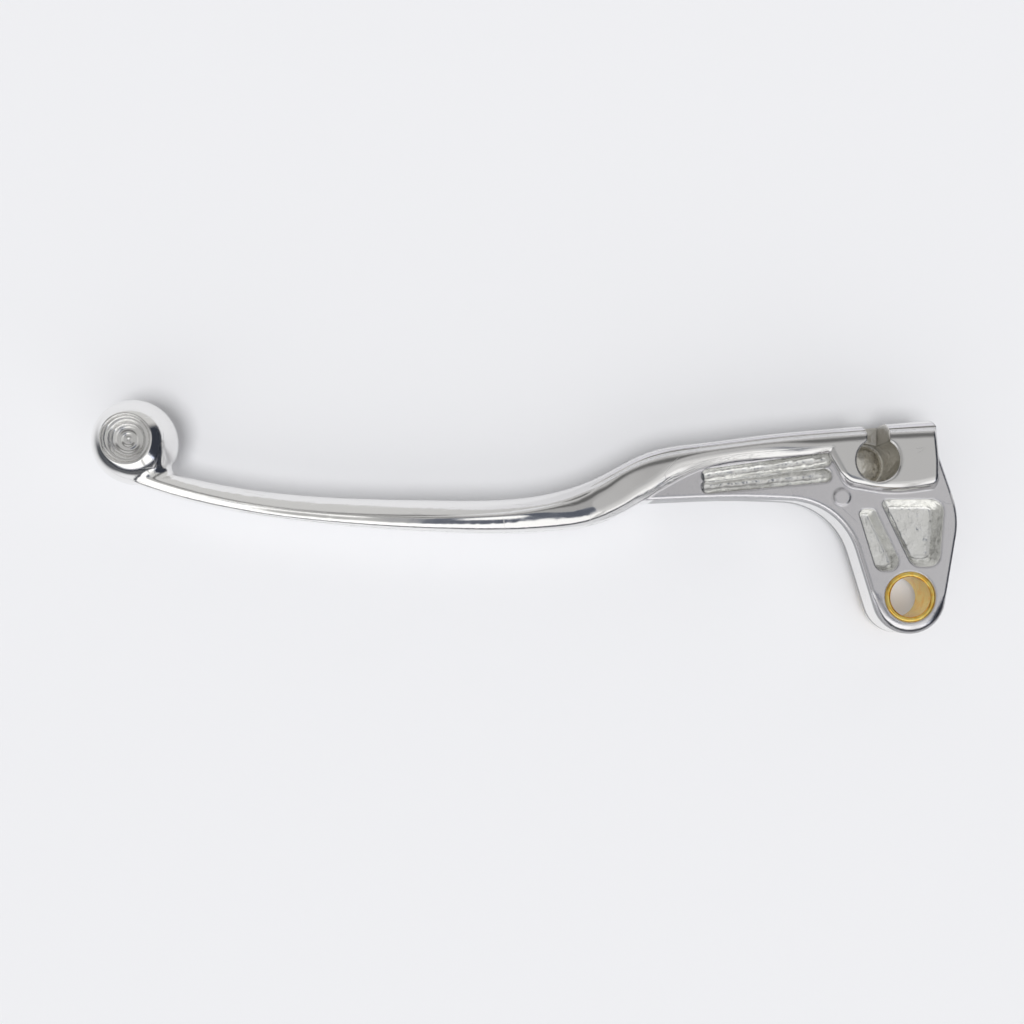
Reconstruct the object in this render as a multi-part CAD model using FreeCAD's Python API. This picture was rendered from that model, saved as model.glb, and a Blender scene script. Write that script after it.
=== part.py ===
import FreeCAD, Part
import math
import os

# Dogleg handlebar lever, cast in aluminium, with a bush pressed in its pivot hole.
# Millimetres. The origin is on the pivot axis at half depth. The blade runs along -X to the ball,
# +Y is the front, where the fingers pull, and +Z is the face with the cast pockets.

Vec = FreeCAD.Vector

# Pivot
BOLT_BORE = 8.1              # inside diameter of the bush
BUSH_DIAMETER = 10.0         # outside of the bush, and its seat in the casting
BUSH_PROUD = 0.2             # how far the bush stands out of each face
BUSH_CHAMFER = 0.25
SEAT_CHAMFER = 0.15
PLATE_DEPTH = 10.0           # thickness of the pivot plate and of the web along the arm
PLATE_ROUND = 0.8            # rounding of the plate's outer edges
BOSS_RADIUS = 7.2            # outside of the plate round the pivot
LEFT_LEAN = 17.0             # lean of the plate's two sides, in degrees
RIGHT_LEAN = 9.5
ELBOW_RADIUS = 14.5          # inside of the bend between arm and plate
SHOULDER_RISE = 16.2         # outer corner of the plate, beside the cable block
SHOULDER_RADIUS = 16.0

# Ball end
BALL_REACH = 156.5           # from the pivot axis to the middle of the ball
BALL_RISE = 31.5
BALL_DIAMETER = 17.2
NECK_FILLET = 1.8            # hollow where the blade grows out of the ball
SPOT_DIAMETER = 10.0         # turned recess in the near side of the ball
SPOT_LEDGE = 7.4             # ledge half way down
SPOT_FLOOR = 6.0
SPOT_STEP = 1.1              # depth of each of its two steps
SPOT_DISH = 0.2              # how far the floor is dished
CENTRE_MARK = 0.9            # lathe centre's mark in the floor

# Blade, from the neck beside the ball to the heel where it starts to bend
TIP_OVERRUN = 1.5            # the blade's root in the ball: how far it runs past the middle
TIP_INSET = 0.75             # its back edge, inside the round of the ball
TIP_THICKNESS = 4.6
TIP_DEPTH = 8.0
TIP_FLANK = 2.3
TIP_ROUND = 1.3
NECK_OFFSET = 13.2           # from the middle of the ball to the neck
NECK_DROP = 7.75             # front edge at the neck, behind the middle of the ball
NECK_THICKNESS = 4.8
NECK_DEPTH = 8.6
NECK_FLANK = 2.7             # how far the front flank leans back
NECK_ROUND = 1.5             # how far the near face rounds over towards the back
HEEL_RUN = 8.1               # from the bend to the heel
HEEL_RISE = 21.5
HEEL_THICKNESS = 8.0
HEEL_DEPTH = 13.4
HEEL_FLANK = 2.8
HEEL_ROUND = 2.2
FRONT_SAG = 2.95             # how far the front edge bows away from a straight line
BACK_SAG = 2.43
BLADE_FALL = 0.5             # how far the land falls from the ridge to the back
FLANK_SWELL = 0.75           # how much wider the flank is half way along the blade
BLADE_PLACES = (1.0, 0.67, 0.33, 0.0)    # sections of the blade, as shares from heel to neck
FRONT_FULLNESS = 0.5         # shape of the section's front and back, as shares of its half depth
BACK_FULLNESS = 0.8
LAND_CURVE = 0.3             # share of that fall half way across the land
RIDGE_FULLNESS = 0.98        # how near the flank's end comes to the full half depth
RIDGE_LEAD = 0.15            # how far the ridge's round reaches to each side, as shares of the flank
RIDGE_TRAIL = 0.1

# Bend and arm: run, rise of the front edge and thickness at each place
BEND_RUN = 8.2               # from the knee to the bend
BEND_RISE = 24.5
BEND_THICKNESS = 9.5
KNEE_RUN = 12.0              # from the rail's start to the knee
KNEE_RISE = 28.75
KNEE_THICKNESS = 9.7
RAIL_RUN = 12.2              # from the middle of the rail to its start
RAIL_RISE = 31.2
RAIL_THICKNESS = 5.8
MIDDLE_RUN = 12.5            # from the rail's end to its middle
MIDDLE_RISE = 32.75
MIDDLE_THICKNESS = 5.35
RAIL_END_REACH = 16.9
RAIL_END_RISE = 33.95
RAIL_END_THICKNESS = 5.5
ARM_FLANK = 2.2
ARM_ROUND = 1.2
ARM_FALL = 0.0                # the land along the arm is level
WEB_RISE = 19.6              # back edge of the web along the arm
WEB_CROWN = 0.45             # how far that edge arches between knee and elbow
WEB_ARCH_RADIUS = 150.0

# Cable block, at the end of the rail
BLOCK_DEPTH = 14.0           # thickness of the rail and the block
BLOCK_END = 5.4              # end face, past the pivot
BLOCK_END_RISE = 36.1
BLOCK_END_SLANT = 0.8        # how far the end face leans back at the front
BLOCK_END_FLANK = 3.1
BLOCK_BASE = 20.5            # its back edge
BLOCK_LEFT = 12.9            # where its left flank starts
BLOCK_SHOULDER = 16.4        # where its left flank meets the rail
BLOCK_CORNER = 3.0
BLOCK_SWEEP = 1.6            # how far its back edge curves up at the ends
BLOCK_BASE_RADIUS = 24.0
BLOCK_ROUND = 1.2
END_CORNER = 1.5             # front corner of the end face
END_BEND_RADIUS = 12.0       # where the end face starts to lean back
NIPPLE_X = -6.9              # hole for the cable's barrel nipple
NIPPLE_Y = 27.2
NIPPLE_HOLE = 8.6
NIPPLE_FLOOR = 1.7           # metal left under the hole
NIPPLE_RIM = 0.35            # chamfer at its mouth
SLOT_WIDTH = 4.6             # slot for the cable, from the hole to the front
SLOT_FLOOR = 4.4             # metal left under the slot

# Cast pockets in the near face
POCKET_DEPTH = 3.4           # the two pockets of the plate
POCKET_SLOPE = 1.4           # how far their walls lean in from rim to floor
POCKET_CORNER = 2.6
POCKET_TIGHT_CORNER = 1.0    # beside the top of the strut
POCKET_SHOULDER = 1.2        # more metal outside the wide pocket at its top
POCKET_ROUND = 0.7           # round the edge of the floor
POCKET_TOP = 19.6
POCKET_FOOT = 6.0
RIM_WALL = 2.4               # metal between a pocket and the outside of the plate
STRUT_WIDTH = 1.9            # slanting wall between the two pockets
STRUT_TOP_X = -6.2
STRUT_FOOT_X = 0.4
SLIT_TOP = 17.6              # narrow pocket on the left of the strut
SLIT_FOOT = 5.2
SLIT_CORNER = 2.0
SLIT_SLOPE = 0.8
SLIT_ROUND = 0.45
CHANNEL_RADIUS = 1.35        # two round bottomed channels along the arm, with a rib between them
CHANNEL_DEPTH = 2.6
CHANNEL_START = 40.4
CHANNEL_END = 17.1
RIB_START_RISE = 23.2        # middle of the rib at its two ends
RIB_END_RISE = 25.9
RIB_PITCH_START = 2.2        # from channel to channel at the two ends
RIB_PITCH_END = 3.2
RIB_DROP = 0.8               # how far the rib stays below the web
PIN_PAD_X = -13.7            # raised mark of an ejector pin
PIN_PAD_Y = 20.0
PIN_PAD_DIAMETER = 3.4
PIN_PAD_HEIGHT = 0.35
PIN_PAD_ROUND = 0.25

MIDDLE_REACH = RAIL_END_REACH + MIDDLE_RUN
RAIL_REACH = MIDDLE_REACH + RAIL_RUN
KNEE_REACH = RAIL_REACH + KNEE_RUN
BEND_REACH = KNEE_REACH + BEND_RUN
HEEL_REACH = BEND_REACH + HEEL_RUN
PLATE_HALF = PLATE_DEPTH / 2
BLOCK_HALF = BLOCK_DEPTH / 2
BALL_RADIUS = BALL_DIAMETER / 2
BALL_CENTRE = Vec(-BALL_REACH, BALL_RISE, 0)
BURY = 2.5                   # how far one form reaches into its neighbour before they are fused
CROWN = 0.1                  # how far the skinned arm stands over its level faces before facing
SAME_HEIGHT = 1e-4           # two heights this close count as one


def corner_arc(before, corner, after, radius):
    """Arc of the given radius tangent to both sides of a corner, as its two ends and its middle."""
    to_before = (before - corner).normalize()
    to_after = (after - corner).normalize()
    half_angle = to_before.getAngle(to_after) / 2
    bisector = (to_before + to_after).normalize()
    run = radius / math.tan(half_angle)
    middle = corner + bisector * (radius / math.sin(half_angle) - radius)
    return corner + to_before * run, middle, corner + to_after * run


def rounded_outline(corners, z=0.0):
    """Closed wire through corners given as (x, y, radius), with an arc at each rounded corner."""
    points = [Vec(x, y, z) for x, y, radius in corners]
    count = len(points)
    edges = []
    arcs = []
    for i in range(count):
        radius = corners[i][2]
        if radius:
            arcs.append(corner_arc(points[i - 1], points[i], points[(i + 1) % count], radius))
        else:
            arcs.append((points[i], None, points[i]))
    for i in range(count):
        start, middle, end = arcs[i]
        if middle is not None:
            edges.append(Part.Arc(start, middle, end).toShape())
        edges.append(Part.LineSegment(end, arcs[(i + 1) % count][0]).toShape())
    return Part.Wire(edges)


def prism(corners, low, high):
    """Upright solid on a rounded outline."""
    face = Part.Face(rounded_outline(corners, low))
    return face.extrude(Vec(0, 0, high - low))


def at_height(edge, height):
    return all(abs(vertex.Z - height) < SAME_HEIGHT for vertex in edge.Vertexes)


def round_rims(solid, radius, heights):
    """Round the edges of a solid that lie level at any of the given heights."""
    rims = [edge for edge in solid.Edges if any(at_height(edge, height) for height in heights)]
    return solid.makeFillet(radius, rims)


def bow_section(x, front, thickness, flank, round_over, fall, half):
    """Poles of the bow's closed section across X. The front and back are upright at half depth, the
    flank leans back to a tight ridge, and the land behind it falls a little and rounds over to the back."""
    back = front - thickness
    ridge = front - flank
    land_end = back + round_over
    near = [
        (front, FRONT_FULLNESS * half),
        (ridge + RIDGE_LEAD * flank, RIDGE_FULLNESS * half),
        (ridge - RIDGE_TRAIL * flank, half),
        ((ridge + land_end) / 2, half - LAND_CURVE * fall),
        (land_end, half - fall),
        (back, BACK_FULLNESS * half),
    ]
    far = [(y, -z) for y, z in reversed(near)]
    return [Vec(x, y, z) for y, z in [(front, 0.0)] + near + [(back, 0.0)] + far]


def blend(share, at_heel, at_neck):
    return at_heel + share * (at_neck - at_heel)


def blade_sections():
    """Sections from inside the ball to the heel, on two bowed edges that close in towards the ball."""
    tip_x = -BALL_REACH - TIP_OVERRUN
    tip_front = BALL_RISE - BALL_RADIUS + TIP_INSET + TIP_THICKNESS
    sections = [bow_section(tip_x, tip_front, TIP_THICKNESS, TIP_FLANK, TIP_ROUND, BLADE_FALL, TIP_DEPTH / 2)]
    for share in BLADE_PLACES:
        swell = 4 * share * (1 - share)
        x = blend(share, -HEEL_REACH, NECK_OFFSET - BALL_REACH)
        front = blend(share, HEEL_RISE, BALL_RISE - NECK_DROP) - swell * FRONT_SAG
        thickness = blend(share, HEEL_THICKNESS, NECK_THICKNESS) - swell * (FRONT_SAG - BACK_SAG)
        flank = blend(share, HEEL_FLANK, NECK_FLANK) + swell * FLANK_SWELL
        round_over = blend(share, HEEL_ROUND, NECK_ROUND)
        half = blend(share, HEEL_DEPTH / 2, NECK_DEPTH / 2)
        sections.append(bow_section(x, front, thickness, flank, round_over, BLADE_FALL, half))
    return sections


def arm_sections():
    """Sections from the bend to past the end face, a little deeper than they finish."""
    half = BLOCK_HALF + CROWN
    end_thickness = RAIL_END_THICKNESS + BURY
    return [
        bow_section(-BEND_REACH, BEND_RISE, BEND_THICKNESS, ARM_FLANK, ARM_ROUND, ARM_FALL, half),
        bow_section(-KNEE_REACH, KNEE_RISE, KNEE_THICKNESS, ARM_FLANK, ARM_ROUND, ARM_FALL, half),
        bow_section(-RAIL_REACH, RAIL_RISE, RAIL_THICKNESS, ARM_FLANK, ARM_ROUND, ARM_FALL, half),
        bow_section(-MIDDLE_REACH, MIDDLE_RISE, MIDDLE_THICKNESS, ARM_FLANK, ARM_ROUND, ARM_FALL, half),
        bow_section(-RAIL_END_REACH, RAIL_END_RISE, RAIL_END_THICKNESS, ARM_FLANK, ARM_ROUND, ARM_FALL, half),
        bow_section(BLOCK_END + BURY, BLOCK_END_RISE, end_thickness, BLOCK_END_FLANK, ARM_ROUND, ARM_FALL, half),
    ]


def skin(sections):
    """Closed solid through sections of equal pole count, smooth along X and round each section."""
    places = [poles[0].x for poles in sections]
    tracks = []
    for along in zip(*sections):
        track = Part.BSplineCurve()
        track.interpolate(Points=list(along), Parameters=places)
        tracks.append(track)
    poles = [list(row) for row in zip(*[track.getPoles() for track in tracks])]
    ring = Part.BSplineCurve()
    ring.buildFromPoles(sections[0], True, 3)
    surface = Part.BSplineSurface()
    surface.buildFromPolesMultsKnots(
        poles, tracks[0].getMultiplicities(), ring.getMultiplicities(),
        tracks[0].getKnots(), ring.getKnots(), False, True, 3, 3)
    wall = surface.toShape()
    ends = []
    for poles_at_end in (sections[0], sections[-1]):
        rim = Part.BSplineCurve()
        rim.buildFromPoles(poles_at_end, True, 3)
        ends.append(Part.Face(Part.Wire(rim.toShape())))
    shell = Part.makeShell([wall] + ends)
    shell.sewShape()
    return Part.makeSolid(shell)


def rail_back():
    """Back edge of the rail where the block starts."""
    return RAIL_END_RISE - RAIL_END_THICKNESS


def cable_block():
    """Rough block behind the end of the rail, over its finished depth and past its end face."""
    beyond = BLOCK_END + BURY
    inside_rail = RAIL_END_RISE - RAIL_END_THICKNESS / 2
    corners = [
        (-BLOCK_SHOULDER, rail_back(), 0),
        (-BLOCK_LEFT, BLOCK_BASE + BLOCK_SWEEP, BLOCK_CORNER),
        ((BLOCK_END - BLOCK_LEFT) / 2, BLOCK_BASE, BLOCK_BASE_RADIUS),
        (beyond, BLOCK_BASE + BLOCK_SWEEP, 0),
        (beyond, inside_rail, 0),
        (-BLOCK_SHOULDER + BURY / 2, inside_rail, 0),
    ]
    return prism(corners, -BLOCK_HALF - BURY, BLOCK_HALF + BURY)


def finished_arm():
    """Outline and depth that the arm is faced to: level on both sides, with a rounded end."""
    far_end = -BALL_REACH - BALL_DIAMETER
    clear = BLOCK_END_RISE + BURY
    corners = [
        (far_end, 0, 0),
        (BLOCK_END - BLOCK_CORNER, 0, 0),
        (BLOCK_END - BLOCK_CORNER, BLOCK_BASE, 0),
        (BLOCK_END, BLOCK_BASE + BLOCK_CORNER / 2, BLOCK_CORNER),
        (BLOCK_END, NIPPLE_Y, END_BEND_RADIUS),
        (BLOCK_END - BLOCK_END_SLANT, BLOCK_END_RISE, END_CORNER),
        (NIPPLE_X, BLOCK_END_RISE, 0),
        (NIPPLE_X, clear, 0),
        (far_end, clear, 0),
    ]
    return prism(corners, -BLOCK_HALF, BLOCK_HALF)


def is_block_rim(solid, edge):
    """True for the level edges round the block and its end, and not along the rail."""
    centre = edge.CenterOfMass
    level = at_height(edge, BLOCK_HALF) or at_height(edge, -BLOCK_HALF)
    beside_rail = centre.x < NIPPLE_X and centre.y > rail_back()
    kinds = {type(face.Surface) for face in solid.ancestorsOfType(edge, Part.Face)}
    return level and not beside_rail and kinds <= {Part.Plane, Part.Cylinder}


def bow_and_block():
    """The blade, bend and rail as one skinned form, with the block behind its end."""
    form = skin(blade_sections() + arm_sections()).fuse(cable_block())
    form = form.common(finished_arm()).Solids[0]
    rims = [edge for edge in form.Edges if is_block_rim(form, edge)]
    return form.makeFillet(BLOCK_ROUND, rims).Solids[0]


def add_ball(form):
    """The ball on the tip of the blade, with a hollow fillet all round the neck."""
    joined = form.fuse(Part.makeSphere(BALL_RADIUS, BALL_CENTRE)).Solids[0]
    neck = []
    for edge in joined.Edges:
        kinds = {type(face.Surface) for face in joined.ancestorsOfType(edge, Part.Face)}
        if kinds == {Part.Sphere, Part.BSplineSurface}:
            neck.append(edge)
    return joined.makeFillet(NECK_FILLET, neck).Solids[0]


def side_x(y, lean, side):
    """One side of the plate, on its line tangent to the boss: side is -1 for left and 1 for right."""
    angle = math.radians(lean)
    return side * (BOSS_RADIUS + math.sin(angle) * y) / math.cos(angle)


def left_side_x(y):
    return side_x(y, LEFT_LEAN, -1)


def right_side_x(y):
    return side_x(y, RIGHT_LEAN, 1)


def boss_corner():
    """Where the two leaning sides of the plate would meet below the pivot."""
    left = math.radians(LEFT_LEAN)
    right = math.radians(RIGHT_LEAN)
    y = -BOSS_RADIUS * (1 / math.cos(left) + 1 / math.cos(right)) / (math.tan(left) + math.tan(right))
    return right_side_x(y), y


def plate():
    """Web along the arm and the plate round the pivot, in one flat form with rounded edges."""
    boss_x, boss_y = boss_corner()
    corners = [
        (-KNEE_REACH - BURY / 2, WEB_RISE - WEB_CROWN, 0),
        (-(KNEE_REACH + RAIL_END_REACH) / 2, WEB_RISE + WEB_CROWN, WEB_ARCH_RADIUS),
        (left_side_x(WEB_RISE), WEB_RISE - WEB_CROWN, ELBOW_RADIUS),
        (boss_x, boss_y, BOSS_RADIUS),
        (right_side_x(SHOULDER_RISE), SHOULDER_RISE, SHOULDER_RADIUS),
        (BLOCK_END, NIPPLE_Y + BURY, 0),
        (-RAIL_END_REACH, RAIL_END_RISE - BURY, 0),
        (-RAIL_REACH, RAIL_RISE - BURY, 0),
        (-KNEE_REACH, KNEE_RISE - KNEE_THICKNESS / 2, 0),
    ]
    web = prism(corners, -PLATE_HALF, PLATE_HALF)
    return round_rims(web, PLATE_ROUND, (-PLATE_HALF, PLATE_HALF))


def inset(corners, distance):
    """Corners of an anticlockwise outline drawn in by a distance, with arcs half as large."""
    count = len(corners)
    moved = []
    for i in range(count):
        x, y, radius = corners[i]
        here = Vec(x, y, 0)
        last_x, last_y, _ = corners[i - 1]
        next_x, next_y, _ = corners[(i + 1) % count]
        before = (here - Vec(last_x, last_y, 0)).normalize()
        after = (Vec(next_x, next_y, 0) - here).normalize()
        inward = Vec(-before.y - after.y, before.x + after.x, 0).normalize()
        reach = distance / math.cos(before.getAngle(after) / 2)
        point = here + inward * reach
        moved.append((point.x, point.y, radius / 2))
    return moved


def pocket(corners, slope, floor_round):
    """Cutter for a cast pocket: walls that lean in to a flat floor with a rounded edge."""
    floor = PLATE_HALF - POCKET_DEPTH
    rim = rounded_outline(corners, PLATE_HALF)
    foot = rounded_outline(inset(corners, slope), floor)
    hollow = Part.makeLoft([foot, rim], True, True)
    return round_rims(hollow, floor_round, (floor,))


def strut_x(y):
    """Right side of the strut at a height, from its top to its foot."""
    share = (POCKET_TOP - y) / (POCKET_TOP - POCKET_FOOT)
    return STRUT_TOP_X + share * (STRUT_FOOT_X - STRUT_TOP_X)


def plate_pockets():
    """The three cornered pocket beside the pivot, and the narrow one across the strut from it."""
    wide = [
        (strut_x(POCKET_FOOT), POCKET_FOOT, POCKET_CORNER),
        (right_side_x(POCKET_FOOT) - RIM_WALL, POCKET_FOOT, POCKET_CORNER),
        (right_side_x(POCKET_TOP) - RIM_WALL - POCKET_SHOULDER, POCKET_TOP, POCKET_CORNER),
        (strut_x(POCKET_TOP), POCKET_TOP, POCKET_TIGHT_CORNER),
    ]
    narrow = [
        (left_side_x(SLIT_FOOT) + RIM_WALL, SLIT_FOOT, SLIT_CORNER),
        (strut_x(SLIT_FOOT) - STRUT_WIDTH, SLIT_FOOT, SLIT_CORNER),
        (strut_x(SLIT_TOP) - STRUT_WIDTH, SLIT_TOP, POCKET_TIGHT_CORNER),
        (left_side_x(SLIT_TOP) + RIM_WALL, SLIT_TOP, POCKET_TIGHT_CORNER),
    ]
    return [pocket(wide, POCKET_SLOPE, POCKET_ROUND), pocket(narrow, SLIT_SLOPE, SLIT_ROUND)]


def channel(start, end):
    """Cutter for a round bottomed channel between two points, with round ends, open at the top."""
    axis_z = PLATE_HALF - CHANNEL_DEPTH + CHANNEL_RADIUS
    first = Vec(start[0], start[1], axis_z)
    last = Vec(end[0], end[1], axis_z)
    run = last - first
    across = Vec(-run.y, run.x, 0).normalize() * CHANNEL_RADIUS
    bottom = Part.makeCylinder(CHANNEL_RADIUS, run.Length, first, run)
    for place in (first, last):
        bottom = bottom.fuse(Part.makeSphere(CHANNEL_RADIUS, place))
        bottom = bottom.fuse(drum(CHANNEL_RADIUS, axis_z, PLATE_HALF, place.x, place.y))
    corners = [first + across, first - across, last - across, last + across]
    sides = Part.Face(Part.makePolygon(corners + corners[:1]))
    return bottom.fuse(sides.extrude(Vec(0, 0, PLATE_HALF - axis_z)))


def arm_channels():
    """The two channels along the arm, with the top of the rib between them cut below the web."""
    upper = channel((-CHANNEL_START, RIB_START_RISE + RIB_PITCH_START / 2),
                    (-CHANNEL_END, RIB_END_RISE + RIB_PITCH_END / 2))
    lower = channel((-CHANNEL_START, RIB_START_RISE - RIB_PITCH_START / 2),
                    (-CHANNEL_END, RIB_END_RISE - RIB_PITCH_END / 2))
    rib_top = [
        (-CHANNEL_START, RIB_START_RISE - RIB_PITCH_START / 2, 0),
        (-CHANNEL_END, RIB_END_RISE - RIB_PITCH_END / 2, 0),
        (-CHANNEL_END, RIB_END_RISE + RIB_PITCH_END / 2, 0),
        (-CHANNEL_START, RIB_START_RISE + RIB_PITCH_START / 2, 0),
    ]
    return [upper, lower, prism(rib_top, PLATE_HALF - RIB_DROP, PLATE_HALF)]


def drum(radius, low, high, x=0.0, y=0.0):
    return Part.makeCylinder(radius, high - low, Vec(x, y, low))


def ball_recess():
    """Turned recess in the near side of the ball: two steps, a dished floor and a centre mark."""
    rim = math.sqrt(BALL_RADIUS ** 2 - (SPOT_DIAMETER / 2) ** 2)
    ledge = rim - SPOT_STEP
    floor = ledge - SPOT_STEP
    middle = floor - SPOT_DISH
    profile = [
        (0, BALL_RADIUS),
        (SPOT_DIAMETER / 2, BALL_RADIUS),
        (SPOT_DIAMETER / 2, rim),
        ((SPOT_DIAMETER + SPOT_LEDGE) / 4, ledge),
        (SPOT_LEDGE / 2, ledge),
        (SPOT_FLOOR / 2, floor),
        (CENTRE_MARK / 2, middle),
        (0, middle - CENTRE_MARK / 2),
    ]
    points = [Vec(r, 0, z) for r, z in profile]
    turned = Part.Face(Part.makePolygon(points + points[:1])).revolve(Vec(), Vec(0, 0, 1), 360)
    turned.translate(BALL_CENTRE)
    return turned


def cable_seat():
    """Blind hole for the barrel nipple, chamfered at its mouth, and the slot that its cable leaves by."""
    radius = NIPPLE_HOLE / 2
    place = Vec(NIPPLE_X, NIPPLE_Y, BLOCK_HALF - NIPPLE_RIM)
    hole = drum(radius, NIPPLE_FLOOR - BLOCK_HALF, BLOCK_HALF, NIPPLE_X, NIPPLE_Y)
    mouth = Part.makeCone(radius, radius + 2 * NIPPLE_RIM, 2 * NIPPLE_RIM, place)
    slot_low = SLOT_FLOOR - BLOCK_HALF
    slot_corner = Vec(NIPPLE_X - SLOT_WIDTH / 2, NIPPLE_Y, slot_low)
    slot = Part.makeBox(SLOT_WIDTH, BLOCK_END_RISE, BLOCK_DEPTH, slot_corner)
    return [hole, mouth, slot]


def bush_seat():
    """Through hole for the bush, chamfered at both faces of the plate."""
    radius = BUSH_DIAMETER / 2
    tools = [drum(radius, -PLATE_DEPTH, PLATE_DEPTH)]
    for side in (-1, 1):
        place = Vec(0, 0, side * (PLATE_HALF - SEAT_CHAMFER))
        outward = Vec(0, 0, side)
        tools.append(Part.makeCone(radius, radius + 2 * SEAT_CHAMFER, 2 * SEAT_CHAMFER, place, outward))
    return tools


def pin_pad():
    top = PLATE_HALF + PIN_PAD_HEIGHT
    pad = drum(PIN_PAD_DIAMETER / 2, 0, top, PIN_PAD_X, PIN_PAD_Y)
    return round_rims(pad, PIN_PAD_ROUND, (top,))


def lever_body():
    forms = add_ball(bow_and_block()).fuse([plate(), pin_pad()])
    cutters = [ball_recess()] + cable_seat() + bush_seat() + plate_pockets() + arm_channels()
    return forms.cut(cutters).Solids[0]


def pivot_bush():
    half = PLATE_HALF + BUSH_PROUD
    tube = drum(BUSH_DIAMETER / 2, -half, half).cut(drum(BOLT_BORE / 2, -half, half))
    rims = [edge for edge in tube.Edges if at_height(edge, half) or at_height(edge, -half)]
    return tube.makeChamfer(BUSH_CHAMFER, rims)


os.makedirs("parts", exist_ok=True)
lever_body().exportStep("parts/lever_body.step")
pivot_bush().exportStep("parts/pivot_bush.step")
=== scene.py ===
import bpy
import math
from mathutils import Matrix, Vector


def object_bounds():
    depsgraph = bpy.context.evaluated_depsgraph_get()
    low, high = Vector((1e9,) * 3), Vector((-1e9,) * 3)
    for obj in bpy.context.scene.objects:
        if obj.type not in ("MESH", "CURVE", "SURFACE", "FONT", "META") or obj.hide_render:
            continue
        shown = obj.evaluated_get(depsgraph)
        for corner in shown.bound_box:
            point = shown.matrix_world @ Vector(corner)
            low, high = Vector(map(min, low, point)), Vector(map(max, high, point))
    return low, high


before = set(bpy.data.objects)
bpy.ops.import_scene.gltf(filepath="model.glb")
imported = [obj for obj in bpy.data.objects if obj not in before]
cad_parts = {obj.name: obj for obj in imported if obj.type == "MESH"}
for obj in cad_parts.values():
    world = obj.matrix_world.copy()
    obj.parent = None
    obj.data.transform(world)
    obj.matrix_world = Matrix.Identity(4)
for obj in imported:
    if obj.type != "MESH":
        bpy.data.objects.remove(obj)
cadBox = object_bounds()
mm = 0.001
print("frame loaded:", sorted(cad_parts))


# camera: straight down over the blade, framed a little above its own foot point
camera = {
    "place": (-79.7, 0.0, 260.0),    # mm
    "focal": 1275.0,                 # pixels of the 1024 pixel frame
    "frame": 1024.0,
    "rise": 85.0,                    # pixels that the frame's middle stands above the foot point
    "sensor": 36.0,
    "clip": 0.01,
}


def placeCamera(spec):
    bpy.ops.object.camera_add(location=[value * mm for value in spec["place"]], rotation=(0, 0, 0))
    cam = bpy.context.object
    cam.name = "photoCamera"
    cam.data.sensor_width = spec["sensor"]
    cam.data.lens = spec["sensor"] * spec["focal"] / spec["frame"]
    cam.data.shift_y = spec["rise"] / spec["frame"]
    cam.data.clip_start = spec["clip"]
    bpy.context.scene.camera = cam


placeCamera(camera)
print("camera placed")


def newMaterial(name):
    material = bpy.data.materials.new(name)
    material.use_nodes = True
    tree = material.node_tree
    return material, tree, tree.nodes["Principled BSDF"]


# node helpers: a term is a number or a socket
def calc(tree, operation, *terms):
    node = tree.nodes.new("ShaderNodeMath")
    node.operation = operation
    for socket, term in zip(node.inputs, terms):
        if isinstance(term, (int, float)):
            socket.default_value = term
        else:
            tree.links.new(term, socket)
    return node.outputs[0]


def chain(tree, operation, terms):
    result = terms[0]
    for term in terms[1:]:
        result = calc(tree, operation, result, term)
    return result


def add(tree, *terms):
    return chain(tree, "ADD", terms)


def times(tree, *terms):
    return chain(tree, "MULTIPLY", terms)


def minus(tree, first, second):
    return calc(tree, "SUBTRACT", first, second)


def larger(tree, first, second):
    return calc(tree, "MAXIMUM", first, second)


def squared(tree, term):
    return calc(tree, "MULTIPLY", term, term)


def away(tree, term):    # from 0, to either side
    return calc(tree, "ABSOLUTE", term)


def lineOf(tree, source, start, slope):
    return add(tree, start, times(tree, source, slope))


def rise(tree, source, low, high):    # 0 below low, 1 above high, smooth between them
    node = tree.nodes.new("ShaderNodeMapRange")
    node.interpolation_type = "SMOOTHSTEP"
    node.inputs["From Min"].default_value = low
    node.inputs["From Max"].default_value = high
    tree.links.new(source, node.inputs["Value"])
    return node.outputs["Result"]


def outside(tree, mask):
    return minus(tree, 1.0, mask)


def sink(tree, source, low, high):    # 1 below low, 0 above high
    return outside(tree, rise(tree, source, low, high))


def between(tree, source, low, high, soft):
    return times(tree, rise(tree, source, low - soft, low + soft), sink(tree, source, high - soft, high + soft))


def mixValue(tree, factor, first, second):
    node = tree.nodes.new("ShaderNodeMix")
    tree.links.new(factor, node.inputs["Factor"])
    for name, term in (("A", first), ("B", second)):
        if isinstance(term, (int, float)):
            node.inputs[name].default_value = term
        else:
            tree.links.new(term, node.inputs[name])
    return node.outputs["Result"]


def mixColour(tree, factor, first, second):
    node = tree.nodes.new("ShaderNodeMix")
    node.data_type = "RGBA"
    tree.links.new(factor, node.inputs[0])
    for socket, term in ((node.inputs[6], first), (node.inputs[7], second)):    # the colour A and B
        if isinstance(term, tuple):
            socket.default_value = term
        else:
            tree.links.new(term, socket)
    return node.outputs[2]


def stretch(tree, vector, factors):
    node = tree.nodes.new("ShaderNodeVectorMath")
    node.operation = "MULTIPLY"
    node.inputs[1].default_value = factors
    tree.links.new(vector, node.inputs[0])
    return node.outputs["Vector"]


def pattern(tree, place, spec):    # noise, about 0.5, drawn out where the spec says so
    node = tree.nodes.new("ShaderNodeTexNoise")
    node.inputs["Scale"].default_value = spec["scale"]
    node.inputs["Detail"].default_value = spec["detail"]
    node.inputs["Roughness"].default_value = spec["roughness"]
    if "stretch" in spec:
        place = stretch(tree, place, spec["stretch"])
    tree.links.new(place, node.inputs["Vector"])
    return node.outputs["Fac"]


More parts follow.
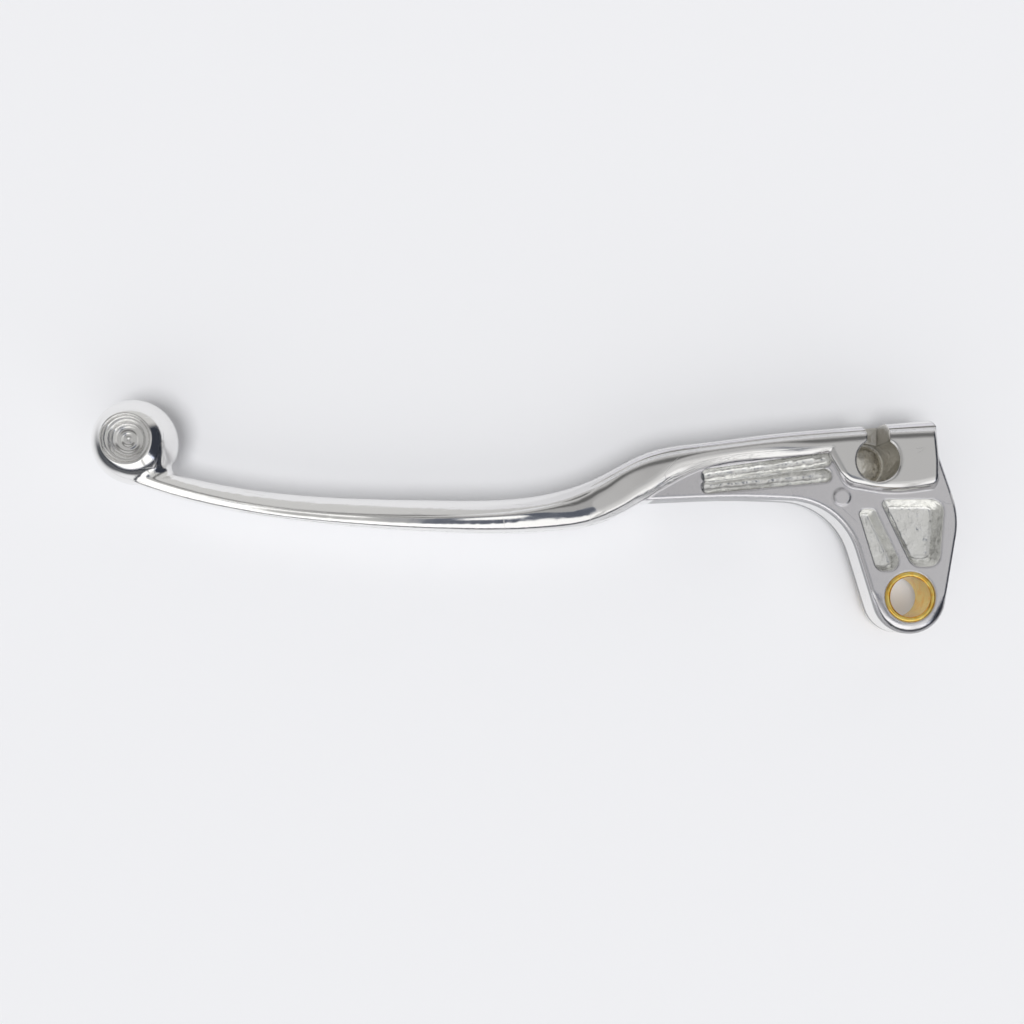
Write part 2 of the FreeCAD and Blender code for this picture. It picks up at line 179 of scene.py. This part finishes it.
def splitPlace(tree, output):    # x, y and z of a texture coordinate
    where = tree.nodes.new("ShaderNodeTexCoord")
    axes = tree.nodes.new("ShaderNodeSeparateXYZ")
    tree.links.new(where.outputs[output], axes.inputs["Vector"])
    return axes.outputs


# floor: a large sheet of pale paper under the ball
paper = {
    "size": 6.0,
    "colour": (0.872, 0.876, 0.9, 1.0),
    "roughness": 0.75,
    "gloss": 0.2,
    "paintedReflection": (0.06, 0.064, 0.076, 1.0),   # painted reflection: a dark colour that only glossy rays see on the sheet past the reach, so the polish mirrors dark where the camera sees pale paper
    "reach": (0.008, 0.05),                  # m from the lever, where that starts and is full
    "front": (0.0, 0.05),                    # m in front of the lever's middle, where it ends
}


def layPaper(spec):
    lowest = cadBox[0].z
    middle = (cadBox[0] + cadBox[1]) / 2
    half = (cadBox[1] - cadBox[0]) / 2
    bpy.ops.mesh.primitive_plane_add(size=spec["size"], location=(middle.x, middle.y, lowest))
    sheet = bpy.context.object
    sheet.name = "paperFloor"
    material, tree, shader = newMaterial("palePaper")
    axes = splitPlace(tree, "Object")
    sideways = minus(tree, away(tree, axes["X"]), half.x)
    backwards = minus(tree, times(tree, axes["Y"], -1.0), half.y)
    past = rise(tree, larger(tree, sideways, backwards), *spec["reach"])
    # painted reflection: past the reach from the lever, glossy rays see the sheet dark while the camera sees it
    # pale
    rays = tree.nodes.new("ShaderNodeLightPath")
    paintedReflectionMask = times(tree, past, sink(tree, axes["Y"], *spec["front"]), rays.outputs["Is Glossy Ray"])
    tree.links.new(mixColour(tree, paintedReflectionMask, spec["colour"], spec["paintedReflection"]), shader.inputs["Base Color"])
    shader.inputs["Roughness"].default_value = spec["roughness"]
    shader.inputs["Specular IOR Level"].default_value = spec["gloss"]
    sheet.data.materials.append(material)


layPaper(paper)
print("paper laid")


# studio: the room that the polish mirrors, as areas of the sky seen from below
# x and y are the two level parts of a direction, so 0 is overhead and 1 is level
# a later area covers an earlier one
studio = {
    "overhead": 0.46,
    "warmth": (1.0, 0.995, 0.985, 1.0),
    "backdrop": 0.88,
    "backdropColour": (0.97, 0.975, 1.0, 1.0),
    "areas": [
        {"x": (0.10, 0.70), "y": (-0.40, 0.34), "soft": 0.08, "level": 0.60},    # pale ceiling on the right
        {"x": (0.16, 1.0), "y": (-1.1, -0.30), "soft": 0.20, "level": 0.92},     # brighter towards the window
        {"x": (-1.0, 1.0), "y": (-1.1, -0.50), "soft": 0.10, "level": 0.80},     # glow above the window
        {"x": (-1.2, 1.2), "y": (0.70, 1.2), "soft": 0.07, "level": 0.62},       # front wall
        {"x": (-1.0, 1.0), "y": (0.36, 0.64), "soft": 0.09, "level": 0.16},      # its top edge
        {"x": (0.74, 1.2), "y": (-0.80, 0.60), "soft": 0.05, "level": 0.045,     # dark side
         "tint": (0.82, 0.92, 1.2, 1.0)},
        {"x": (-0.82, 0.78), "y": (-1.1, -0.58), "soft": 0.03, "level": 1.25},   # large soft window
        {"x": (0.37, 0.44), "y": (-1.1, -0.58), "soft": 0.02, "level": 0.5},     # its bar
        {"x": (-0.15, 0.17), "y": (-0.54, -0.12), "soft": 0.04, "level": 0.14,   # camera stand
         "tint": (0.84, 0.93, 1.16, 1.0)},
    ],
    "horizon": {"below": -2.0, "height": 0.11, "soft": 0.03, "front": 0.45, "frontSoft": 0.15,
                "level": 0.035, "tint": (0.82, 0.92, 1.2, 1.0)},
    "lamp": {"from": (-0.06, -0.23, 1.0), "spread": 26.0, "power": 1.48},    # degrees and W/m2
}


def lightStudio(spec):
    world = bpy.data.worlds.new("studioRoom")
    world.use_nodes = True
    bpy.context.scene.world = world
    tree = world.node_tree
    background = tree.nodes["Background"]
    axes = splitPlace(tree, "Generated")
    level = spec["overhead"]
    colour = spec["warmth"]
    for area in spec["areas"]:
        inArea = times(tree, between(tree, axes["X"], *area["x"], area["soft"]),
                       between(tree, axes["Y"], *area["y"], area["soft"]))
        level = mixValue(tree, inArea, level, area["level"])
        if "tint" in area:
            colour = mixColour(tree, inArea, colour, area["tint"])
    ring = spec["horizon"]
    low = between(tree, axes["Z"], ring["below"], ring["height"], ring["soft"])
    behind = between(tree, axes["Y"], ring["below"], ring["front"], ring["frontSoft"])
    onRing = times(tree, low, behind)
    level = mixValue(tree, onRing, level, ring["level"])
    colour = mixColour(tree, onRing, colour, ring["tint"])
    rays = tree.nodes.new("ShaderNodeLightPath")
    seen = rays.outputs["Is Camera Ray"]
    tree.links.new(mixValue(tree, seen, level, spec["backdrop"]), background.inputs["Strength"])
    tree.links.new(mixColour(tree, seen, colour, spec["backdropColour"]), background.inputs["Color"])
    lamp = spec["lamp"]
    bpy.ops.object.light_add(type="SUN", location=lamp["from"])
    softBox = bpy.context.object
    softBox.name = "softBox"
    softBox.data.angle = math.radians(lamp["spread"])
    softBox.data.energy = lamp["power"]
    softBox.rotation_euler = Vector(lamp["from"]).to_track_quat("Z", "Y").to_euler()
    softBox.visible_glossy = False    # it lights the paper, and the polish mirrors only the room
    bpy.context.scene.view_settings.view_transform = "Standard"


lightStudio(studio)
print("studio lit")


# wear that both metals show: hairline scratches and a faint smear of handling
wearMarks = {
    "cells": {"stretch": (0.45, 1.0, 1.0), "scale": 0.22, "line": (0.002, 0.012)},    # scratches run on their edges
    "worn": {"scale": 0.16, "detail": 2.0, "roughness": 0.5, "share": (0.52, 0.62)},    # where they show
    "smear": {"stretch": (0.4, 1.0, 1.0), "scale": 0.3, "detail": 4.0, "roughness": 0.6},
}


def buildMetalWear(spec):
    group = bpy.data.node_groups.new("metalWear", "ShaderNodeTree")
    group.interface.new_socket("Place", in_out="INPUT", socket_type="NodeSocketVector")
    group.interface.new_socket("Scratches", in_out="OUTPUT", socket_type="NodeSocketFloat")
    group.interface.new_socket("Smear", in_out="OUTPUT", socket_type="NodeSocketFloat")
    place = group.nodes.new("NodeGroupInput").outputs["Place"]
    leave = group.nodes.new("NodeGroupOutput")
    cells = group.nodes.new("ShaderNodeTexVoronoi")
    cells.feature = "DISTANCE_TO_EDGE"
    cells.inputs["Scale"].default_value = spec["cells"]["scale"]
    group.links.new(stretch(group, place, spec["cells"]["stretch"]), cells.inputs["Vector"])
    line = sink(group, cells.outputs["Distance"], *spec["cells"]["line"])
    worn = rise(group, pattern(group, place, spec["worn"]), *spec["worn"]["share"])
    group.links.new(times(group, line, worn), leave.inputs["Scratches"])
    group.links.new(pattern(group, place, spec["smear"]), leave.inputs["Smear"])
    return group


metalWear = buildMetalWear(wearMarks)


def startMetal(name):    # a material with its place in mm, its parts x, y and z, and the shared wear
    material, tree, shader = newMaterial(name)
    where = tree.nodes.new("ShaderNodeTexCoord")
    place = stretch(tree, where.outputs["Object"], (1 / mm, 1 / mm, 1 / mm))
    axes = tree.nodes.new("ShaderNodeSeparateXYZ")
    tree.links.new(place, axes.inputs["Vector"])
    wear = tree.nodes.new("ShaderNodeGroup")
    wear.node_tree = metalWear
    tree.links.new(place, wear.inputs["Place"])
    shader.inputs["Metallic"].default_value = 1.0
    return material, tree, shader, place, axes.outputs, wear.outputs


def setBump(tree, shader, height, edgeRadius):    # both in mm
    edge = tree.nodes.new("ShaderNodeBevel")
    edge.samples = 8
    edge.inputs["Radius"].default_value = edgeRadius * mm
    bump = tree.nodes.new("ShaderNodeBump")
    tree.links.new(edge.outputs["Normal"], bump.inputs["Normal"])
    bump.inputs["Strength"].default_value = 1.0
    bump.inputs["Distance"].default_value = mm
    tree.links.new(height, bump.inputs["Height"])
    tree.links.new(bump.outputs["Normal"], shader.inputs["Normal"])


def distanceFrom(tree, axes, centre):    # from an upright axis, mm
    acrossX = minus(tree, axes["X"], centre[0])
    acrossY = minus(tree, axes["Y"], centre[1])
    return calc(tree, "SQRT", add(tree, squared(tree, acrossX), squared(tree, acrossY)))


def edgeCurve(tree, source, points):    # y of an edge at each x, through the given points
    xs = [x for x, y in points]
    ys = [y for x, y in points]
    span = xs[-1] - xs[0]
    tall = max(ys) - min(ys)
    node = tree.nodes.new("ShaderNodeFloatCurve")
    curve = node.mapping.curves[0]
    curve.points[0].location = (0.0, (ys[0] - min(ys)) / tall)
    curve.points[1].location = (1.0, (ys[-1] - min(ys)) / tall)
    for x, y in points[1:-1]:
        curve.points.new((x - xs[0]) / span, (y - min(ys)) / tall)
    node.mapping.update()
    tree.links.new(calc(tree, "DIVIDE", minus(tree, source, xs[0]), span), node.inputs["Value"])
    return add(tree, times(tree, node.outputs["Value"], tall), min(ys))


# lever: polished casting, left rough in its pockets; places and heights in mm
# along is the run of x where a form is full or starts, and fade is how softly it does
# depth is the distance from the middle of the thickness, where a form starts and is full
lever = {
    "webTop": 5.0,
    "railTop": 7.0,
    "pivot": (0.0, 0.0),
    "backEdge": [(-160.0, 23.7), (-143.3, 18.95), (-119.1, 15.0), (-94.1, 13.15), (-69.9, 13.5),
                 (-61.8, 15.0), (-53.6, 19.05), (-41.6, 25.4), (-29.4, 27.4), (-14.0, 28.7)],
    "ridge": [(-143.3, 21.05), (-119.1, 17.0), (-94.1, 16.2), (-69.9, 18.7), (-61.8, 22.3),
              (-53.6, 26.55), (-41.6, 29.0), (-29.4, 30.55), (-16.9, 31.75), (7.9, 33.0)],
    "edgeRadius": 0.72,
    "lumps": {"scale": 0.5, "detail": 2.0, "roughness": 0.5},
    "grain": {"scale": 4.5, "detail": 3.0, "roughness": 0.6},
    "brushed": {"stretch": (0.06, 3.2, 3.2), "scale": 1.0, "detail": 3.0, "roughness": 0.6},
    "wave": {"stretch": (0.5, 1.0, 1.0), "scale": 0.2, "detail": 1.0, "roughness": 0.5},
    "polish": {"colour": (0.91, 0.905, 0.895, 1.0), "roughness": 0.085, "smear": 0.06, "scratch": 0.15,
               # landPaintedShade: painted shade, a darker base colour on the faces of the arm and block, fading out
               # along the blade, that stands in for their dimmer reflection
               "landPaintedShade": (0.75, 0.743, 0.74, 1.0), "landAlong": (-110.0, -58.0), "landDepth": (4.0, 5.0),
               "railRoughness": 0.05, "railAlong": (-68.0, -52.0),
               "wave": 0.12, "brushed": 0.004, "scratchDepth": 0.01},
    "web": {"colour": (0.77, 0.76, 0.785, 1.0), "roughness": 0.2, "spread": 0.2, "grain": 0.03,
            "foot": 4.6, "head": 5.5, "soft": 0.05, "along": (-62.0, -58.0)},
    "side": {"colour": (0.3, 0.3, 0.31, 1.0), "roughness": 0.26, "depth": (4.35, 4.7), "behind": (0.8, 1.2),
             "along": (-60.0, -54.0), "narrows": (-32.0, -14.0), "foot": 3.3,
             "footSoft": (-0.3, 0.1)},    # painted shade: dark colour along the web's side walls for their dark reflection, a little rougher too
    "rough": {"bright": (0.96, 0.96, 0.945, 1.0), "dark": (0.9, 0.9, 0.88, 1.0), "mottle": (0.38, 0.62),
              "roughness": 0.21, "spread": 0.3, "lumps": 0.34, "grain": 0.006,
              "floor": 0.6, "rim": 0.12, "soft": 0.08},
    "pockets": {"left": (-6.03, -0.306), "right": (5.8, 0.167),    # x at y 0, and x for each y
                "sideSoft": 0.3, "foot": 4.4, "top": 20.8, "soft": 0.1, "clear": (5.6, 5.8)},
    "channels": {"low": (24.2, 0.0944), "high": (31.5, 0.137),     # y at x 0, and y for each x
                 "left": -42.4, "right": -15.0, "soft": 0.1},
    "seat": {"middle": (-6.9, 27.2), "edge": (4.32, 4.42), "slotEdge": (2.32, 2.38), "slotStart": (27.2, 27.4),
             "top": (6.7, 6.9), "bottom": (-5.6, -5.4), "floorTop": (-5.0, -4.4),
             # painted light and shade: the hole's floor is painted brighter than the metal and its wall darker
             "wall": (0.7, 0.68, 0.635, 1.0), "floor": (0.98, 0.955, 0.89, 1.0),
             "roughness": 0.28, "lumps": 0.36, "dome": 0.05},
    "spot": {"middle": (-156.5, 31.5), "edge": (4.7, 5.0), "height": (3.0, 4.0), "roughness": 0.17,
             "ringPitch": 1.25, "ringHeight": 0.068},    # turned recess in the ball
    "crown": {"width": 3.9, "fall": 0.1, "along": (-62.0, -25.0), "fade": 7.0, "depth": (5.6, 5.8),
              "bladeDepth": (3.2, 3.9), "bladeAlong": (-64.0, -58.0)},
    "shoulder": {"lift": 0.8, "reach": (2.2, 2.8), "along": (-54.0, -18.0), "fade": 7.0,
                 "depth": (5.0, 5.35)},    # softens the rail's step down to the web
    "hollow": {"slope": 0.5, "foot": 4.6, "head": 5.5, "soft": 0.1, "along": (-45.0, -19.0),
               "fade": 6.0},    # under that step
    "ridgeRound": {"width": 1.7, "fall": 0.1, "depth": (5.6, 6.4), "along": (-66.0, -60.0)},
    "bladeLand": {"lift": 0.46, "width": 2.6, "depth": (2.6, 3.2), "along": (-130.0, -62.0),
                  "fade": 9.0},    # holds the blade level behind its ridge
    "bossRound": {"start": 5.2, "fall": 0.28, "front": (-3.5, 1.5)},
    "blockFoot": {"middle": -3.75, "rise": 20.7, "curve": 0.017, "width": 2.6, "fall": 0.2,
                  "depth": (5.6, 5.8), "along": (-14.5, 7.0), "fade": 0.5},
}


def roughMasks(tree, axes, spec):    # the outlines of pockets and channels, and what is sunk in them
    x, y, z = axes["X"], axes["Y"], axes["Z"]
    pockets = spec["pockets"]
    inPockets = times(
        tree,
        rise(tree, minus(tree, x, lineOf(tree, y, *pockets["left"])), 0.0, pockets["sideSoft"]),
        rise(tree, minus(tree, lineOf(tree, y, *pockets["right"]), x), 0.0, pockets["sideSoft"]),
        between(tree, y, pockets["foot"], pockets["top"], pockets["soft"]),
        rise(tree, distanceFrom(tree, axes, spec["pivot"]), *pockets["clear"]),
    )
    channels = spec["channels"]
    soft = channels["soft"]
    inChannels = times(
        tree,
        between(tree, x, channels["left"], channels["right"], soft),
        rise(tree, minus(tree, y, lineOf(tree, x, *channels["low"])), -soft, soft),
        rise(tree, minus(tree, lineOf(tree, x, *channels["high"]), y), -soft, soft),
    )
    outline = larger(tree, inPockets, inChannels)
    sunk = between(tree, z, spec["rough"]["floor"], spec["webTop"] - spec["rough"]["rim"], spec["rough"]["soft"])
    return outline, times(tree, sunk, outline)


def seatMask(tree, axes, spec):    # the hole for the cable's nipple and its slot
    seat = spec["seat"]
    inHole = sink(tree, distanceFrom(tree, axes, seat["middle"]), *seat["edge"])
    fromSlot = away(tree, minus(tree, axes["X"], seat["middle"][0]))
    inSlot = times(tree, sink(tree, fromSlot, *seat["slotEdge"]), rise(tree, axes["Y"], *seat["slotStart"]))
    return times(tree, larger(tree, inHole, inSlot), sink(tree, axes["Z"], *seat["top"]),
                 rise(tree, axes["Z"], *seat["bottom"]))


def webMask(tree, axes, spec):
    web = spec["web"]
    return times(tree, between(tree, axes["Z"], web["foot"], web["head"], web["soft"]),
                 rise(tree, axes["X"], *web["along"]))


def sideMask(tree, axes, spec, cuts):    # painted shade on all of the web's side along the arch, and its upper edge past that
    side = spec["side"]
    depth = away(tree, axes["Z"])
    foot = times(tree, rise(tree, axes["X"], *side["narrows"]), side["foot"])
    behind = minus(tree, edgeCurve(tree, axes["X"], spec["backEdge"]), axes["Y"])
    return times(
        tree,
        sink(tree, depth, *side["depth"]),
        rise(tree, minus(tree, depth, foot), *side["footSoft"]),
        rise(tree, axes["X"], *side["along"]),
        rise(tree, behind, *side["behind"]),
        outside(tree, cuts),
    )


# the next seven give how far the polish stands above or below the solid, mm
def crownHeight(tree, axes, depth, inside, spec):    # the rail and knee fall away to their back edge
    near = larger(tree, minus(tree, spec["width"], inside), 0.0)
    aboveWeb = larger(tree, rise(tree, depth, *spec["depth"]), sink(tree, axes["X"], *spec["bladeAlong"]))
    onLand = times(tree, between(tree, axes["X"], *spec["along"], spec["fade"]),
                   rise(tree, depth, *spec["bladeDepth"]), aboveWeb)
    return times(tree, squared(tree, near), -spec["fall"], onLand)


def shoulderHeight(tree, axes, depth, inside, spec, railTop):
    onStep = times(tree, rise(tree, depth, *spec["depth"]), sink(tree, inside, *spec["reach"]),
                   between(tree, axes["X"], *spec["along"], spec["fade"]))
    return times(tree, minus(tree, railTop, depth), onStep, spec["lift"])


def hollowHeight(tree, axes, spec, channelEdge):
    above = larger(tree, minus(tree, axes["Y"], lineOf(tree, axes["X"], *channelEdge)), 0.0)
    onFoot = times(tree, between(tree, axes["Z"], spec["foot"], spec["head"], spec["soft"]),
                   between(tree, axes["X"], *spec["along"], spec["fade"]))
    return times(tree, above, onFoot, spec["slope"])


def ridgeHeight(tree, axes, depth, fromRidge, spec):
    near = larger(tree, minus(tree, spec["width"], fromRidge), 0.0)
    onRail = times(tree, rise(tree, depth, *spec["depth"]), rise(tree, axes["X"], *spec["along"]))
    return times(tree, squared(tree, near), -spec["fall"], onRail)


def bladeHeight(tree, axes, depth, fromRidge, spec):
    behind = calc(tree, "MINIMUM", larger(tree, fromRidge, 0.0), spec["width"])
    bend = times(tree, squared(tree, behind), spec["lift"] / (2 * spec["width"]))
    onBlade = times(tree, rise(tree, depth, *spec["depth"]),
                    between(tree, axes["X"], *spec["along"], spec["fade"]))
    return times(tree, minus(tree, times(tree, behind, spec["lift"]), bend), onBlade)


def bossHeight(tree, axes, spec, pivot):
    out = larger(tree, minus(tree, distanceFrom(tree, axes, pivot), spec["start"]), 0.0)
    return times(tree, squared(tree, out), -spec["fall"], sink(tree, axes["Y"], *spec["front"]))


def blockHeight(tree, axes, depth, spec):    # the block's curved foot
    fromMiddle = minus(tree, axes["X"], spec["middle"])
    edge = add(tree, spec["rise"], times(tree, squared(tree, fromMiddle), spec["curve"]))
    near = larger(tree, minus(tree, spec["width"], minus(tree, axes["Y"], edge)), 0.0)
    onBlock = times(tree, rise(tree, depth, *spec["depth"]),
                    between(tree, axes["X"], *spec["along"], spec["fade"]))
    return times(tree, squared(tree, near), -spec["fall"], onBlock)


def polishHeight(tree, axes, spec):
    depth = away(tree, axes["Z"])
    inside = minus(tree, axes["Y"], edgeCurve(tree, axes["X"], spec["backEdge"]))
    fromRidge = minus(tree, edgeCurve(tree, axes["X"], spec["ridge"]), axes["Y"])
    return add(
        tree,
        crownHeight(tree, axes, depth, inside, spec["crown"]),
        shoulderHeight(tree, axes, depth, inside, spec["shoulder"], spec["railTop"]),
        hollowHeight(tree, axes, spec["hollow"], spec["channels"]["high"]),
        ridgeHeight(tree, axes, depth, fromRidge, spec["ridgeRound"]),
        bladeHeight(tree, axes, depth, fromRidge, spec["bladeLand"]),
        bossHeight(tree, axes, spec["bossRound"], spec["pivot"]),
        blockHeight(tree, axes, depth, spec["blockFoot"]),
    )


def spreadAbout(tree, middle, source, spread):    # a noise's own middle is 0.5
    return add(tree, middle, times(tree, minus(tree, source, 0.5), spread))


def polishedAluminium(spec):
    material, tree, shader, place, axes, wear = startMetal("polishedAluminium")
    polish, web, side, rough, seat, spot = [
        spec[name] for name in ("polish", "web", "side", "rough", "seat", "spot")]
    outline, onRough = roughMasks(tree, axes, spec)
    onSeat = seatMask(tree, axes, spec)
    onWeb = webMask(tree, axes, spec)
    onPaintedShadeBand = sideMask(tree, axes, spec, larger(tree, outline, onSeat))
    aboveFloor = rise(tree, axes["Z"], *seat["floorTop"])
    fromBall = distanceFrom(tree, axes, spot["middle"])
    onSpot = times(tree, sink(tree, fromBall, *spot["edge"]), rise(tree, axes["Z"], *spot["height"]))
    lumps, grain, brushed, wave = [
        pattern(tree, place, spec[name]) for name in ("lumps", "grain", "brushed", "wave")]

    # painted shade: the faces of the arm and block get a darker base colour for their dimmer reflection, fading out
    # along the blade
    onLand = times(tree, rise(tree, axes["X"], *polish["landAlong"]),
                   rise(tree, away(tree, axes["Z"]), *polish["landDepth"]))
    colour = mixColour(tree, onLand, polish["colour"], polish["landPaintedShade"])
    colour = mixColour(tree, onWeb, colour, web["colour"])
    # painted shade: a dark band along the web's side walls stands in for their dark reflection
    colour = mixColour(tree, onPaintedShadeBand, colour, side["colour"])
    mottled = mixColour(tree, rise(tree, lumps, *rough["mottle"]), rough["dark"], rough["bright"])
    colour = mixColour(tree, onRough, colour, mottled)
    # painted light and shade: the hole's floor is painted brighter than the metal, its wall darker
    colour = mixColour(tree, onSeat, colour, mixColour(tree, aboveFloor, seat["floor"], seat["wall"]))
    tree.links.new(colour, shader.inputs["Base Color"])

    roughness = add(
        tree,
        polish["roughness"],
        times(tree, wear["Smear"], polish["smear"]),
        times(tree, wear["Scratches"], polish["scratch"]),
        times(tree, rise(tree, axes["X"], *polish["railAlong"]), polish["railRoughness"]),
    )
    for mask, value in (
        (onWeb, spreadAbout(tree, web["roughness"], grain, web["spread"])),
        (onSpot, spot["roughness"]),
        (onPaintedShadeBand, side["roughness"]),
        (onRough, spreadAbout(tree, rough["roughness"], lumps, rough["spread"])),
        (onSeat, seat["roughness"]),
    ):
        roughness = mixValue(tree, mask, roughness, value)
    tree.links.new(roughness, shader.inputs["Roughness"])

    fromSeat = distanceFrom(tree, axes, seat["middle"])
    rings = calc(tree, "SINE", times(tree, fromBall, math.tau / spot["ringPitch"]))
    castBumps = add(tree, times(tree, lumps, rough["lumps"]), times(tree, grain, rough["grain"]))
    height = add(
        tree,
        polishHeight(tree, axes, spec),
        times(tree, wave, polish["wave"]),
        times(tree, brushed, polish["brushed"]),
        times(tree, wear["Scratches"], -polish["scratchDepth"]),
        times(tree, castBumps, onRough),
        times(tree, grain, web["grain"], onWeb),
        times(tree, lumps, seat["lumps"], onSeat),
        times(tree, squared(tree, fromSeat), -seat["dome"], onSeat, outside(tree, aboveFloor)),
        times(tree, rings, spot["ringHeight"], onSpot),
    )
    setBump(tree, shader, height, spec["edgeRadius"])
    return material


# bush: turned brass, dulled by handling
bush = {
    "bright": (1.0, 0.76, 0.23, 1.0),
    "dull": (1.0, 0.59, 0.1, 1.0),
    "patches": {"scale": 0.7, "detail": 3.0, "roughness": 0.5, "share": (0.42, 0.68)},
    "roughness": 0.12,
    "smear": 0.12,
    "ringPitch": 0.3,    # turning marks, mm
    "ringHeight": 0.006,
    "scratchDepth": 0.01,
    "edgeRadius": 0.42,
}


def bushBrass(spec):
    material, tree, shader, place, axes, wear = startMetal("bushBrass")
    dulled = rise(tree, pattern(tree, place, spec["patches"]), *spec["patches"]["share"])
    tree.links.new(mixColour(tree, dulled, spec["bright"], spec["dull"]), shader.inputs["Base Color"])
    roughness = add(tree, spec["roughness"], times(tree, wear["Smear"], spec["smear"]))
    tree.links.new(roughness, shader.inputs["Roughness"])
    turned = calc(tree, "SINE", times(tree, axes["Z"], math.tau / spec["ringPitch"]))
    height = minus(tree, times(tree, turned, spec["ringHeight"]),
                   times(tree, wear["Scratches"], spec["scratchDepth"]))
    setBump(tree, shader, height, spec["edgeRadius"])
    return material


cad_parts["lever_body"].data.materials[0] = polishedAluminium(lever)
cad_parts["pivot_bush"].data.materials[0] = bushBrass(bush)
print("materials set")
